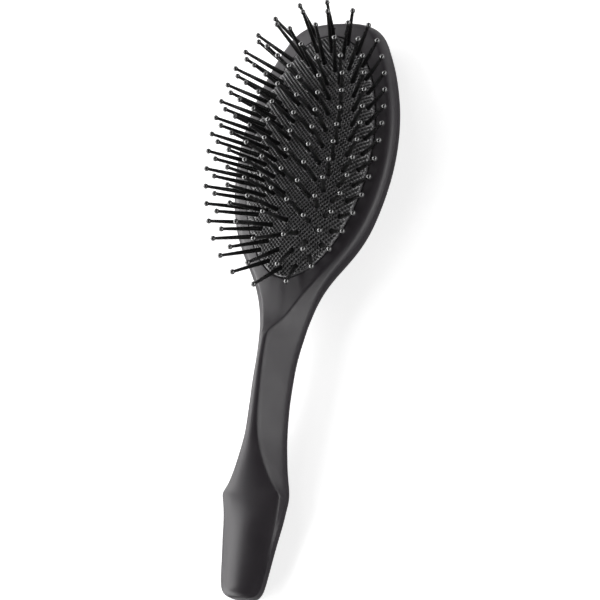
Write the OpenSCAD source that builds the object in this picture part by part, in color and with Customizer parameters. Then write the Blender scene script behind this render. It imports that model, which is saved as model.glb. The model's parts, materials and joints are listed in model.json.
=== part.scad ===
// Oval cushion hair brush with ball-tipped pins, lying on its back with the pins up.
// X runs across the head, Y runs along the brush with the head at +Y, Z points up the pins.
// All lengths are millimetres. The origin is under the middle of the brush, on the rest plane.

/* [Overall] */
// Length of the whole brush, handle end to head top
brush_l = 248.6; // [232:0.2:270]
// Height of the rim face above the rest plane
rim_h = 15.5; // [14.5:0.5:19]

/* [Head] */
// Width of the flat rim face at its widest
face_w = 66.8; // [60:0.2:80]
// How far each side of the head bulges out past the rim face
side_bulge = 2.6; // [1.5:0.1:4]
// Depth of the seam between front frame and back shell, below the rim face
seam_depth = 6; // [5:0.5:7]
// Distance from the brush middle to the tip of the rim face on the neck
pinch_back = 18.8; // [12:0.2:24]

/* [Cushion] */
// Width of the rim face on each side of the cushion
rim_side = 5.1; // [4.5:0.1:8]
// Width of the rim face between the cushion and the head top
cushion_top_gap = 8; // [7:0.2:12]
// Length of the rim face between the cushion and its tip on the neck
cushion_neck_gap = 25.6; // [24:0.2:34]
// Height of the dome above the rim face
cushion_rise = 11; // [7:0.5:13]
// Thickness of the rubber
rubber_t = 1.6; // [1.2:0.1:2]
// Gap between the cushion and the rim all round
cushion_gap = 0.35; // [0.3:0.05:0.6]
// Squareness of the oval at its head end, where 2 is an ellipse
oval_power = 2.1; // [2:0.05:2.5]
// How much less square the oval is at its neck end
oval_pinch = 0.25; // [0:0.05:0.3]

/* [Pins] */
// Length of a pin from the rubber to the middle of its ball
pin_l = 18.4; // [12:0.2:22]
// Diameter of the ball on the end of a pin
ball_d = 1.9; // [1.4:0.1:2.4]
// Diameter of a pin where it leaves the rubber
pin_base_d = 1.8; // [1.4:0.1:2.1]
// Diameter of a pin just under its ball
pin_tip_d = 0.9; // [0.7:0.1:1.2]
// Diameter of the head that holds a pin under the rubber
pin_head_d = 2.6; // [2.2:0.1:2.8]
// Thickness of the pin head
pin_head_t = 0.8; // [0.6:0.1:1.2]
// Distance from the cushion's side to the outer ring of pins
ring_inset = 2; // [2:0.1:4]
// Distance from the cushion's ends to the outer ring of pins
ring_end_inset = 2.8; // [2.6:0.1:5]
// How far the rings of pins sit towards the head top
ring_shift = 0.9; // [0:0.1:1]
// How deep a pin can be pressed into the cushion
press_depth = 3; // [2:0.5:4]

/* [Handle] */
// Width of the neck at its slimmest
neck_w = 16.6; // [14:0.2:20]
// Height of the ridge along the neck, above the rim face
neck_rise = 11.1; // [6:0.1:12]
// Thickness of the neck from its ridge to its back
neck_t = 20; // [17:0.5:22]
// Width of the handle at its corners
flare_w = 28.2; // [24:0.2:36]
// Distance from the brush middle to the handle corners
flare_back = 83.8; // [78:0.2:88]
// Drop of the handle's middle line at its corners, below the rim face
corner_drop = 0.4; // [0:0.1:2]
// Width that the handle tapers to at its end
end_w = 17.6; // [15:0.2:22]
// Drop of the handle's middle line at its end, below the rim face
end_drop = 5.8; // [4:0.1:7]
// Height of the side band between the grip's front and its seam
grip_side = 2.6; // [2:0.1:4]

/* [Hidden] */
RING_NAMES = ["outer", "second", "third", "fourth", "inner"];
ZONES = [6, 6, 4, 4, 2];
RINGS = [0:len(ZONES) - 1];
PIN_NODES = [for (r = RINGS) for (z = [1:ZONES[r]]) str("pins_", RING_NAMES[r], "_", z)];

face_gap = 0.02;
overrun = 1;
fit_gap = 0.1;
soft_gap = 0.3;

// Colours
body_colour = [0.16, 0.16, 0.17];
rubber_colour = [0.11, 0.11, 0.12];
pin_colour = [0.04, 0.04, 0.045];
inner_colour = [0.35, 0.35, 0.36];

// Places that follow from the driving sizes
top_y = brush_l / 2;
end_y = -brush_l / 2;
head_run = top_y + pinch_back;
neck_run = flare_back - pinch_back;
grip_run = -flare_back - end_y;
cushion_a = face_w / 2 - rim_side;
cushion_b = (head_run - cushion_top_gap - cushion_neck_gap) / 2;
cushion_y = top_y - cushion_top_gap - cushion_b;

// Inner parts, stacked under the lip of the rim face
lip_t = 2;
flange_t = 1.5;
flange_out = 2.1;
flange_in = 2.6;
ring_t = 2.1;
plate_t = 2;
pocket_wall = 2.5;
rib_t = 2;
dome_start = 0.8;
lip_z = rim_h - lip_t;
flange_z = lip_z - fit_gap - flange_t;
ring_z = flange_z - soft_gap - ring_t;
plate_z = ring_z - plate_t;
seam_z = rim_h - seam_depth;
dome_z = rim_h - dome_start;

// The body is a skin through rows of sizes, one row per place along Y. A row holds: place
// along Y, half width of the front face, bulge of the side past that face, height of the face's
// edge over the rim face, crown of the face, depth of the seam, depth of the back, and how far
// the side has turned from the head's small chamfer (0) into the neck's broad facet (1).
half_face = face_w / 2;
half_neck = neck_w / 2;
half_flare = flare_w / 2;
half_end = end_w / 2;
neck_back = neck_t - neck_rise;
neck_seam_share = 0.73;
neck_seam = seam_depth * neck_seam_share;
face_share = 0.945;
crown_share = 0.25;
grip_facet_share = 0.35;

// Grip, from its end to its corners: share of the way, and rounding of the end in width and depth
grip_shares = [
    [0.000, 0.42, 0.45], [0.012, 0.63, 0.62], [0.045, 0.84, 0.80], [0.110, 0.965, 0.93],
    [0.240, 1.00, 0.99], [0.580, 1.00, 1.00], [0.830, 1.00, 1.00], [0.970, 1.00, 1.00],
    [1.000, 1.00, 1.00]
];
// Neck, from the grip's corners to the rim face: share of the way, then of the step from neck
// width to corner width, of the corner's face width, of the rise from the corners to the ridge,
// and of the seam's step from the corners to the neck
neck_shares = [
    [0.049, 0.97, 0.820, 0.148, 0.20], [0.108, 0.85, 0.632, 0.287, 0.40],
    [0.160, 0.72, 0.519, 0.374, 0.55], [0.217, 0.60, 0.414, 0.452, 0.68],
    [0.289, 0.46, 0.301, 0.539, 0.80], [0.360, 0.33, 0.214, 0.617, 0.88],
    [0.431, 0.24, 0.171, 0.691, 0.93], [0.505, 0.16, 0.147, 0.752, 0.97],
    [0.652, 0.04, 0.128, 0.861, 1.00], [0.800, 0.00, 0.116, 0.957, 1.00],
    [0.905, 0.06, 0.114, 0.991, 1.00], [0.966, 0.14, 0.117, 1.000, 1.00],
    [0.988, 0.17, 0.117, 0.985, 1.00]
];
// Throat, from the tip of the rim face to where the head is flat: share of the head's length,
// then of the face width, the side bulge, the neck's ridge height, the step from the neck's seam
// and back to the head's, twice, and the turn of the side
throat_shares = [
    [0.0010, 0.045, 3.08, 0.925, 0.00, 0.02, 1.00], [0.0120, 0.062, 2.95, 0.830, 0.00, 0.04, 0.98],
    [0.0300, 0.102, 2.54, 0.668, 0.00, 0.09, 0.95], [0.0500, 0.144, 2.22, 0.530, 0.02, 0.16, 0.92],
    [0.0720, 0.184, 2.00, 0.420, 0.05, 0.26, 0.88], [0.1090, 0.243, 1.86, 0.300, 0.12, 0.45, 0.80],
    [0.1450, 0.324, 1.56, 0.205, 0.25, 0.64, 0.68], [0.1790, 0.408, 1.40, 0.115, 0.45, 0.79, 0.56],
    [0.2150, 0.512, 1.30, 0.060, 0.68, 0.90, 0.42], [0.2520, 0.622, 1.21, 0.025, 0.85, 0.965, 0.28],
    [0.2960, 0.727, 1.15, 0.005, 0.97, 0.995, 0.14]
];
// Head, up to its top: share of the head's length, then of the face width, the side bulge, the
// back's depth, and the drop of the face into the chamfer at the top
head_shares = [
    [0.333, 0.804, 1.12, 1.00, 0.00], [0.379, 0.868, 1.08, 1.00, 0.00],
    [0.426, 0.920, 1.06, 1.00, 0.00], [0.481, 0.964, 1.05, 1.00, 0.00],
    [0.530, 0.990, 1.04, 1.00, 0.00], [0.579, 1.000, 1.02, 1.00, 0.00],
    [0.628, 0.995, 1.00, 1.00, 0.00], [0.676, 0.976, 0.98, 1.00, 0.00],
    [0.732, 0.936, 0.96, 1.00, 0.00], [0.788, 0.876, 0.94, 1.00, 0.00],
    [0.841, 0.800, 0.93, 0.99, 0.00], [0.886, 0.716, 0.93, 0.96, 0.00],
    [0.921, 0.636, 0.94, 0.92, 0.00], [0.953, 0.544, 0.97, 0.85, 0.00],
    [0.972, 0.465, 1.02, 0.77, 0.02], [0.9855, 0.372, 1.08, 0.68, 0.16],
    [0.9940, 0.262, 1.14, 0.60, 0.50], [0.9983, 0.150, 1.16, 0.53, 0.80],
    [1.000, 0.018, 1.00, 0.47, 1.00]
];
top_chamfer = 2.5;
top_seam = 1.6;

function mix(a, b, s) = a + (b - a) * s;
function drop_at(share) = mix(end_drop, corner_drop, share);

grip_rows = [for (g = grip_shares) let (
    w = mix(half_end, half_flare, g[0]) * g[1],
    crown = w * face_share * crown_share,
    edge = drop_at(g[0]) + crown,
    seam = edge + grip_side)
    [end_y + grip_run * g[0], w * face_share, w * (1 - face_share), -mix(seam, edge, g[2]),
     crown * g[2], seam, mix(seam, rim_h, g[2]), grip_facet_share]];

corner_seam = grip_rows[len(grip_rows) - 1][5];
neck_rows = [for (n = neck_shares) let (
    w = mix(half_neck, half_flare, n[1]),
    f = half_flare * face_share * n[2],
    crown = f * crown_share)
    [-flare_back + neck_run * n[0], f, w - f, mix(-corner_drop, neck_rise, n[3]) - crown,
     crown, mix(corner_seam, neck_seam, n[4]), mix(rim_h, neck_back, n[3]),
     mix(grip_facet_share, 1, n[4])]];

throat_rows = [for (t = throat_shares)
    [-pinch_back + head_run * t[0], half_face * t[1], side_bulge * t[2], neck_rise * t[3], 0,
     mix(neck_seam, seam_depth, t[4]), mix(neck_back, rim_h, t[5]), t[6]]];

head_rows = [for (h = head_shares)
    [-pinch_back + head_run * h[0], half_face * h[1], side_bulge * h[2], -top_chamfer * h[4], 0,
     seam_depth + top_seam * h[4], rim_h * h[3], 0]];

key_rows = concat(grip_rows, neck_rows, throat_rows, head_rows);

// Smooth rows between the key rows: a cubic whose slope never overshoots
function secant(rows, i, c) = (rows[i + 1][c] - rows[i][c]) / (rows[i + 1][0] - rows[i][0]);
function slope(rows, i, c) = (i == 0) ? secant(rows, 0, c)
    : (i == len(rows) - 1) ? secant(rows, i - 1, c)
    : let (a = secant(rows, i - 1, c), b = secant(rows, i, c)) (a * b <= 0) ? 0 : 2 * a * b / (a + b);
function between(rows, i, t, c) = let (
    h = rows[i + 1][0] - rows[i][0],
    t2 = t * t,
    t3 = t2 * t)
    (2 * t3 - 3 * t2 + 1) * rows[i][c] + (t3 - 2 * t2 + t) * h * slope(rows, i, c)
    + (3 * t2 - 2 * t3) * rows[i + 1][c] + (t3 - t2) * h * slope(rows, i + 1, c);
function row_at(rows, i, t) = [for (c = [0:len(rows[0]) - 1])
    (c == 0) ? mix(rows[i][0], rows[i + 1][0], t) : between(rows, i, t, c)];
station_share = 0.018;
function steps(rows, i) = (rows[i + 1][0] - rows[i][0] > brush_l * station_share) ? 2 : 1;
station_rows = concat(
    [for (i = [0:len(key_rows) - 2]) for (k = [0:steps(key_rows, i) - 1])
        row_at(key_rows, i, k / steps(key_rows, i))],
    [key_rows[len(key_rows) - 1]]);

// Half of the outline at one place, up the side and over to the middle: the seam, a soft bend
// where the chamfer or facet begins, the edge of the face, and the crowned or flat face
face_points = 4;
back_points = 8;
back_power = 2.6;
back_flat = 0.8;
bend_share = 0.25;
chamfer_shares = [0.78, 0.33];
facet_shares = [0.92, 0.84];
function front_half(s) = let (
    seam = [s[1] + s[2], rim_h - s[5]],
    edge = [s[1], rim_h + s[3]],
    turn = mix(chamfer_shares, facet_shares, s[7]),
    bend = [mix(edge[0], seam[0], turn[0]), mix(edge[1], seam[1], turn[1])])
    concat(
        [seam, mix(seam, bend, 1 - bend_share), mix(bend, edge, bend_share)],
        [for (k = [0:face_points]) let (t = 1 - k / face_points)
            [edge[0] * t, edge[1] + s[4] * (1 - t * t)]]);
function back_half(s) = let (w = s[1] + s[2], seam = rim_h - s[5], low = rim_h - s[6] - back_flat)
    [for (k = [0:back_points]) let (a = 90 * k / back_points)
        [w * pow(cos(a), 2 / back_power), max(0, seam - (seam - low) * pow(sin(a), 2 / back_power))]];
function both_sides(half) = concat(half,
    [for (i = [len(half) - 2:-1:0]) [-half[i][0], half[i][1]]]);

// A closed skin through rings of points, with flat ends
module skin(rings) {
    n = len(rings[0]);
    m = len(rings);
    points = [for (r = rings) for (p = r) p];
    sides = [for (i = [0:m - 2]) for (k = [0:n - 1]) for (tri = [0, 1])
        let (a = i * n + k, b = i * n + (k + 1) % n, c = a + n, d = b + n)
        (tri == 0) ? [a, b, d] : [a, d, c]];
    ends = [[for (k = [n - 1:-1:0]) k], [for (k = [0:n - 1]) (m - 1) * n + k]];
    polyhedron(points = points, faces = concat(sides, ends), convexity = 6);
}
module front_skin() {
    skin([for (s = station_rows) [for (p = both_sides(front_half(s))) [p[0], s[0], p[1]]]]);
}
module back_skin() {
    skin([for (s = station_rows)
        let (loop = both_sides(back_half(s))) [for (i = [len(loop) - 1:-1:0])
            [loop[i][0], s[0], loop[i][1]]]]);
}

// An egg-like oval of half width a and half length b, less square at its neck end
oval_sides = 72;
function power_of(v, e) = sign(v) * pow(abs(v), e);
function oval_point(a, b, power, t) = let (e = 2 / (cos(t) > 0 ? power - oval_pinch : power))
    [-a * power_of(sin(t), e), -b * power_of(cos(t), e)];
module oval(grow) {
    translate([0, cushion_y]) polygon([for (i = [0:oval_sides - 1])
        oval_point(cushion_a + grow, cushion_b + grow, oval_power, 360 * i / oval_sides)]);
}
module oval_block(grow, z, h) {
    translate([0, 0, z]) linear_extrude(height = h) oval(grow);
}

// Pins stand in rings, evenly spaced, and lean outwards by an angle that each ring has at the
// cushion's sides and at its ends. The inner ring's size is a share of the cushion's.
RING_COUNTS = [36, 32, 26, 20, 14];
turn_shares = [0.36, 0.59, 0.37, 0.12, -0.16];
ring_powers = [2.15, 2.25, 2.35, 2.5, 2.65];
side_leans = [44, 37, 26, 12, 1];
end_leans = [31, 38, 27, 14, 4];
inner_ring_shares = [0.19, 0.48];
trace_steps = 144;

function ring_step(r) = r / (len(ZONES) - 1);
function ring_a(r) = mix(cushion_a - ring_inset, cushion_a * inner_ring_shares[0], ring_step(r));
function ring_b(r) = mix(cushion_b - ring_end_inset, cushion_b * inner_ring_shares[1], ring_step(r));
function trace(r) = [for (i = [0:trace_steps])
    oval_point(ring_a(r), ring_b(r), ring_powers[r], 360 * i / trace_steps) + [0, ring_shift]];
function lengths(path) = [for (i = 0, s = 0; i < len(path);
    s = s + norm(path[min(i + 1, len(path) - 1)] - path[i]), i = i + 1) s];
function wrap(share) = share - floor(share);
function spot(path, run, share) = let (s = wrap(share) * run[len(run) - 1])
    [for (c = [0, 1]) lookup(s, [for (i = [0:len(path) - 1]) [run[i], path[i][c]]])];
look_share = 0.004;
function pin_places(r) = let (path = trace(r), run = lengths(path), n = RING_COUNTS[r])
    [for (j = [0:n - 1]) let (
        u = (j + turn_shares[r]) / n,
        p = spot(path, run, u),
        d = spot(path, run, u + look_share) - spot(path, run, u - look_share),
        out = [-d[1], d[0]] / norm(d))
        [p[0], p[1], out[0] * tan(side_leans[r]), out[1] * tan(end_leans[r])]];
function pin_zone(r, j) = floor(wrap(j / RING_COUNTS[r] + 0.5 / ZONES[r]) * ZONES[r]);

// Height of the dome over a place on the cushion
function dome_share(x, y) = let (e = y < 0 ? oval_power - oval_pinch : oval_power)
    sqrt(max(0, 1 - pow(pow(abs(x) / cushion_a, e) + pow(abs(y) / cushion_b, e), 2 / e)));
function dome_top(x, y) = dome_z + (cushion_rise + dome_start) * dome_share(x, y);

// One pin, with its middle line up Z and the rubber's surface at zero
pin_sides = 24;
head_gap = 1.1;
head_z = -rubber_t - head_gap;
module pin() {
    rotate_extrude($fn = pin_sides) polygon([
        [0, head_z - pin_head_t], [pin_head_d / 2, head_z - pin_head_t],
        [pin_head_d / 2, head_z], [pin_base_d / 2, head_z], [pin_base_d / 2, 0],
        [pin_tip_d / 2, pin_l], [0, pin_l]]);
    translate([0, 0, pin_l]) sphere(d = ball_d, $fn = pin_sides);
}
module at_pin(p) {
    lean = atan(norm([p[2], p[3]]));
    translate([p[0], cushion_y + p[1], dome_top(p[0], p[1])])
        rotate([0, lean, atan2(p[3], p[2])]) children();
}
module pin_group(r, z) {
    places = pin_places(r);
    color(pin_colour) for (j = [0:RING_COUNTS[r] - 1]) if (pin_zone(r, j) == z) at_pin(places[j]) pin();
}

// The rubber cushion: a hollow dome on a short wall with a flange, holed for every pin
dome_rings = 9;
dome_sides = 48;
crown_angle = 87.5;
module dome(a, b, low, z, rise) {
    skin(concat(
        [[for (k = [0:dome_sides - 1]) let (p = oval_point(a, b, oval_power, 360 * k / dome_sides))
            [p[0], p[1] + cushion_y, low]]],
        [for (i = [0:dome_rings]) let (t = crown_angle * i / dome_rings)
            [for (k = [0:dome_sides - 1])
                let (p = oval_point(a * cos(t), b * cos(t), oval_power, 360 * k / dome_sides))
                [p[0], p[1] + cushion_y, z + rise * sin(t)]]]));
}
module cushion() {
    rise = cushion_rise + dome_start;
    color(rubber_colour) difference() {
        union() {
            dome(cushion_a, cushion_b, flange_z, dome_z, rise);
            oval_block(flange_out, flange_z, flange_t);
        }
        dome(cushion_a - rubber_t, cushion_b - rubber_t, flange_z - overrun, dome_z, rise - rubber_t);
        for (r = RINGS) let (places = pin_places(r)) for (p = places)
            at_pin(p) translate([0, 0, head_z - overrun])
                cylinder(d = pin_base_d + 2 * soft_gap, h = 2 * overrun - head_z, $fn = pin_sides);
    }
}

// The ring that clamps the cushion's flange up against the rim
module clamp_ring() {
    color(inner_colour) difference() {
        oval_block(flange_out, ring_z, ring_t);
        oval_block(-flange_in, ring_z - overrun, ring_t + 2 * overrun);
    }
}

// The plate that closes the air chamber under the cushion
module pad_plate() {
    color(inner_colour) oval_block(flange_out, plate_z, plate_t - face_gap);
}

// Small slot in the rim face at the top of the head
notch_w = 3.4;
notch_l = 0.8;
notch_t = 0.8;
notch_back = 4.8;

// Pegs that line up the two halves: one each side of the cushion, one in the grip, one in the neck
peg_d = 2.4;
peg_h = 2.4;
peg_gap = 0.05;
grip_peg_row = 5;
neck_peg_row = 5;
peg_x = mix(cushion_a + flange_out, half_face + side_bulge, 0.5);
peg_places = concat([for (side = [-1, 1]) [side * peg_x, cushion_y, seam_z]],
    [for (row = [grip_rows[grip_peg_row], neck_rows[neck_peg_row]]) [0, row[0], rim_h - row[5]]]);
module pegs(gap) {
    for (p = peg_places) translate([p[0], p[1], p[2] - peg_h])
        cylinder(d = peg_d + 2 * gap, h = 2 * (peg_h + gap), $fn = pin_sides);
}

// The front of the body: rim, neck ridge and grip face, open for the cushion
module front_frame() {
    color(body_colour) difference() {
        front_skin();
        oval_block(cushion_gap, seam_z - 2 * overrun, rim_h);
        oval_block(flange_out + fit_gap, seam_z - 2 * overrun, lip_z - seam_z + 2 * overrun);
        pegs(peg_gap);
        translate([-notch_w / 2, top_y - notch_back, rim_h - notch_t])
            cube([notch_w, notch_l, overrun + notch_t]);
    }
}

// The back of the body, with the seat for the inner parts and a ribbed pocket behind them
rib_shares = [-0.5, 0, 0.5];
module back_shell() {
    color(body_colour) difference() {
        union() {
            back_skin();
            pegs(0);
        }
        oval_block(flange_out + fit_gap, plate_z, rim_h);
        difference() {
            oval_block(-flange_in, pocket_wall, rim_h);
            for (s = rib_shares) translate([-half_face, cushion_y + s * cushion_b - rib_t / 2, 0])
                cube([face_w, rib_t, plate_z]);
        }
    }
}

front_frame();
back_shell();
pad_plate();
clamp_ring();
cushion();
for (r = RINGS) for (z = [0:ZONES[r] - 1])
    pin_group(r, z);
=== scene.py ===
# %% [markdown]
# # A detangling brush
# The brush lies on its back: an oval head with an air cushion full of ball-tipped pins, and a
# slim handle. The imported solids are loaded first. They are the frame that every piece made
# here is fitted to, so no piece has to be moved into place afterwards. Sizes below are in
# millimetres, and meshes are turned into metres as they are made.

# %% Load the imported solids
import json
import math

import bpy
import numpy as np
from mathutils import Matrix

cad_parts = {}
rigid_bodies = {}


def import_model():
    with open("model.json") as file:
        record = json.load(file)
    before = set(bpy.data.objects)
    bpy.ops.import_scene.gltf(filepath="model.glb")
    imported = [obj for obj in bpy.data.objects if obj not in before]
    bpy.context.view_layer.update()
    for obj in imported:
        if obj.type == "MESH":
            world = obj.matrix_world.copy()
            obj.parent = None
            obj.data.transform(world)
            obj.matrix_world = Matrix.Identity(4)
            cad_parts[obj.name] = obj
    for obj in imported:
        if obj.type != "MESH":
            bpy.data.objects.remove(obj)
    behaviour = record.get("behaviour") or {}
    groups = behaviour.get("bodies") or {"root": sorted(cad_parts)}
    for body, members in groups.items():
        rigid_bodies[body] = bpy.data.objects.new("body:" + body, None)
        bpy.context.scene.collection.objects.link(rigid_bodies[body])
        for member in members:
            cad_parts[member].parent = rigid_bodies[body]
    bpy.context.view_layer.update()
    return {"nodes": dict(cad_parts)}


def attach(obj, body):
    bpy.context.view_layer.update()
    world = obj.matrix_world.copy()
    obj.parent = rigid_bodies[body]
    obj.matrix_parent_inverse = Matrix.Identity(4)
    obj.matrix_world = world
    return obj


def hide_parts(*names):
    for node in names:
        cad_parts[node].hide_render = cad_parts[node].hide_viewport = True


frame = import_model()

# %% [markdown]
# ## Camera
# The brush was taken with a long lens from about a metre away, looking down past the handle
# on the right-hand side. The camera is set by three turns and the point that it aims at. A long
# lens keeps both sides of the head nearly parallel, as they are in the picture.

# %% Camera
MM = 0.001
IMAGE_SIDE = 600
FOCAL_PIXELS = 2481
SENSOR = 36
AIM = (7.49, -1.93, 15.5)
DISTANCE = 1002
SPIN, TILT, ROLL = 30.11, 18.97, 10.44


def camera_turn(spin, tilt, roll):
    """Rows are the camera's right, up and backward directions: a turn about Y, then X, then Z."""
    cs, ss, ct, st, cr, sr = (f(math.radians(a)) for a in (spin, tilt, roll)
                              for f in (math.cos, math.sin))
    level = np.array([[cs, 0, -ss], [ss * st, ct, cs * st], [ss * ct, -st, cs * ct]])
    rolled = np.array([[cr, sr, 0], [-sr, cr, 0], [0, 0, 1]])
    return rolled @ level


turn = camera_turn(SPIN, TILT, ROLL)
place = np.array(AIM) + DISTANCE * turn[2]
lens = bpy.data.cameras.new("camera")
lens.sensor_width = SENSOR
lens.lens = FOCAL_PIXELS / IMAGE_SIDE * SENSOR
camera = bpy.data.objects.new("camera", lens)
camera.matrix_world = Matrix.Translation(place * MM) @ Matrix(turn.T.tolist()).to_4x4()
bpy.context.scene.collection.objects.link(camera)
bpy.context.scene.camera = camera
bpy.context.scene.view_settings.view_transform = "Standard"
print("camera at", np.round(place), "mm, lens", round(lens.lens, 1))

# %% [markdown]
# ## Helpers
# A material is a small graph of nodes. `Shade` keeps the graph and makes a node in one line, so
# that each finish further down reads as a short list of what goes into what.

# %% Node helper
class Shade:
    """Makes nodes in a tree and links them: an input is a number, a colour or an output."""

    def __init__(self, tree):
        self.tree = tree

    def node(self, kind, inputs=(), **settings):
        """A node with its settings; `inputs` gives each socket a value or a link."""
        made = self.tree.nodes.new(kind)
        for key, value in settings.items():
            setattr(made, key, value)
        for key, value in dict(inputs).items():
            if isinstance(value, bpy.types.NodeSocket):
                self.tree.links.new(value, made.inputs[key])
            else:
                made.inputs[key].default_value = value
        return made

    def math(self, operation, *values):
        """The result of one sum."""
        return self.node("ShaderNodeMath", enumerate(values), operation=operation).outputs[0]

    def span(self, value, low, high, to_low=0.0, to_high=1.0):
        """A value carried smoothly from one span onto another."""
        return self.node("ShaderNodeMapRange", {
            "Value": value, "From Min": low, "From Max": high, "To Min": to_low,
            "To Max": to_high}, interpolation_type="SMOOTHSTEP").outputs["Result"]

    def blend(self, share, first, second):
        """A colour between two others."""
        mix = self.node("ShaderNodeMix", data_type="RGBA")
        for socket, value in zip((mix.inputs[0], mix.inputs[6], mix.inputs[7]),
                                 (share, first, second)):
            if isinstance(value, bpy.types.NodeSocket):
                self.tree.links.new(value, socket)
            else:
                socket.default_value = value
        return mix.outputs[2]


def grey(value):
    """A neutral colour."""
    return (value, value, value, 1)


print("helpers: node, math, span, blend, grey")


# %% [markdown]
# ## Floor, light and backdrop
# A product picture on white. Soft boxes stand low in an arc at the left, two stand higher there,
# and a weaker arc is at the right, so a surface turned to either side shines and one turned to
# the camera stays dark. One large lamp would be simpler, but it would lay a broad grey veil over
# the black plastic. The floor shows white to the camera and to far reflections, but gets no
# extra light, so the soft shadow stays on it.

# %% Floor
SEEN_BY = ("Is Camera Ray", "Is Glossy Ray", "Is Transmission Ray")


def seen(shade):
    """1 for a ray from the camera, or one that metal or glass sends on, and 0 for other light."""
    path = shade.node("ShaderNodeLightPath")
    first = shade.math("MAXIMUM", path.outputs[SEEN_BY[0]], path.outputs[SEEN_BY[1]])
    return shade.math("MAXIMUM", first, path.outputs[SEEN_BY[2]])


FLOOR_HALF = 3.0
NEAR_RING, FAR_RING = (0.15, 0.6), (0.4, 1.5)
NEAR_GLOW, PAPER = 0.72, 0.8
corners = np.array([[-1, -1, 0], [1, -1, 0], [1, 1, 0], [-1, 1, 0]]) * FLOOR_HALF
floor_mesh = bpy.data.meshes.new("floor")
floor_mesh.from_pydata(corners.tolist(), [], [(0, 1, 2, 3)])
floor = bpy.data.objects.new("floor", floor_mesh)
bpy.context.scene.collection.objects.link(floor)

paper = bpy.data.materials.new("white_paper")
paper.use_nodes = True
paper.node_tree.nodes.clear()
shade = Shade(paper.node_tree)
where = shade.node("ShaderNodeTexCoord").outputs["Object"]
away = shade.node("ShaderNodeVectorMath", {0: where}, operation="LENGTH").outputs["Value"]
far = shade.span(away, *NEAR_RING)
camera_ray = shade.node("ShaderNodeLightPath").outputs["Is Camera Ray"]
shown = shade.math("MULTIPLY", seen(shade), shade.math("MAXIMUM", far, camera_ray))
base = shade.node("ShaderNodeBsdfDiffuse", {"Color": grey(PAPER)})
strength = shade.math("MULTIPLY", shown, shade.span(away, *FAR_RING, NEAR_GLOW, 1.0))
glow = shade.node("ShaderNodeEmission", {"Color": grey(1), "Strength": strength})
both = shade.node("ShaderNodeAddShader", enumerate((base.outputs[0], glow.outputs[0])))
shade.node("ShaderNodeOutputMaterial", {"Surface": both.outputs[0]})
floor_mesh.materials.append(paper)
print("floor:", 2 * FLOOR_HALF, "m square")

# %% Sky and soft boxes
WALL_LIGHT, BACKDROP_TOP = (0.12, 0.05), (0.03, 0.15)
world = bpy.data.worlds.new("white_room")
bpy.context.scene.world = world
world.use_nodes = True
world.node_tree.nodes.clear()
shade = Shade(world.node_tree)
where = shade.node("ShaderNodeTexCoord").outputs["Generated"]
height = shade.node("ShaderNodeSeparateXYZ", {0: where}).outputs["Z"]
walls = shade.span(height, 0.0, 0.5, *WALL_LIGHT)
camera_ray = shade.node("ShaderNodeLightPath").outputs["Is Camera Ray"]
backdrop = shade.span(height, *BACKDROP_TOP, 1.0, 0.0)
shown = shade.math("MULTIPLY", seen(shade), shade.math("MAXIMUM", backdrop, camera_ray))
strength = shade.math("MAXIMUM", shown, walls)
room = shade.node("ShaderNodeBackground", {"Color": grey(1), "Strength": strength})
shade.node("ShaderNodeOutputWorld", {"Surface": room.outputs[0]})


def soft_box(name, round_turn, rise, watts):
    """A square area lamp on a sphere about the brush: an angle round from +X, and one up."""
    lamp = bpy.data.lights.new(name, "AREA")
    lamp.size, lamp.energy = BOX_SIDE, watts
    a, e = math.radians(round_turn), math.radians(rise)
    back = np.array([math.cos(a) * math.cos(e), math.sin(a) * math.cos(e), math.sin(e)])
    up = np.array([0.0, 1.0, 0.0]) - back[1] * back
    up = up / np.linalg.norm(up)
    axes = np.stack([np.cross(up, back), up, back], 1)
    box = bpy.data.objects.new(name, lamp)
    box.matrix_world = Matrix.Translation(back * BOX_REACH) @ Matrix(axes.tolist()).to_4x4()
    bpy.context.scene.collection.objects.link(box)
    return box


BOX_SIDE, BOX_REACH = 0.6, 1.1
SOFT_BOXES = {
    "left_near": (228, 20, 4.6), "left_low": (200, 10, 5.4), "left_high": (170, 38, 6.0),
    "left_far": (160, 14, 5.6), "left_top": (124, 38, 2.4), "right_near": (-30, 12, 2.4),
    "right_low": (0, 8, 4.2), "right_far": (30, 12, 2.4)}
for name, (round_turn, rise, watts) in SOFT_BOXES.items():
    soft_box(name, round_turn, rise, watts)
print("soft boxes:", len(SOFT_BOXES))

# %% [markdown]
# ## The body's outline as numbers
# The real body is two mouldings welded along a seam, with no straight line on either. It is
# described by rows of sizes, one row per place along the brush: half width of the front face,
# how far the side bulges past it, how high the face's edge stands over the rim, its crown, the
# depths of the seam and of the back, and how far the side has turned from a small chamfer (0)
# into the neck's broad facet (1). A sculpted or subdivided block could have the same shape, but
# rows keep it tied to the solids, which are lofted from the same sizes.

# %% Driving sizes of the body
BRUSH_L, RIM_H, FACE_W, BULGE, SEAM, PINCH = 248.6, 15.5, 66.8, 2.6, 6.0, 18.8
NECK_W, NECK_RISE, NECK_T, FLARE_W, FLARE_BACK = 16.6, 11.1, 20.0, 28.2, 83.8
CORNER_DROP, END_W, END_DROP, GRIP_SIDE = 0.4, 17.6, 5.8, 2.6
TOP, HEAD_RUN = BRUSH_L / 2, BRUSH_L / 2 + PINCH
NECK_RUN, GRIP_RUN = FLARE_BACK - PINCH, BRUSH_L / 2 - FLARE_BACK
NECK_BACK, NECK_SEAM = NECK_T - NECK_RISE, SEAM * 0.73
FACE_SHARE, GRIP_FACE, CROWN_SHARE, GRIP_TURN = 0.945, 0.85, 0.25, 0.35
GRIP_CROWN = 1.15
TOP_CHAMFER, TOP_SEAM = 2.5, 1.6
RIM_CROWN = 2.0

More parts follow.
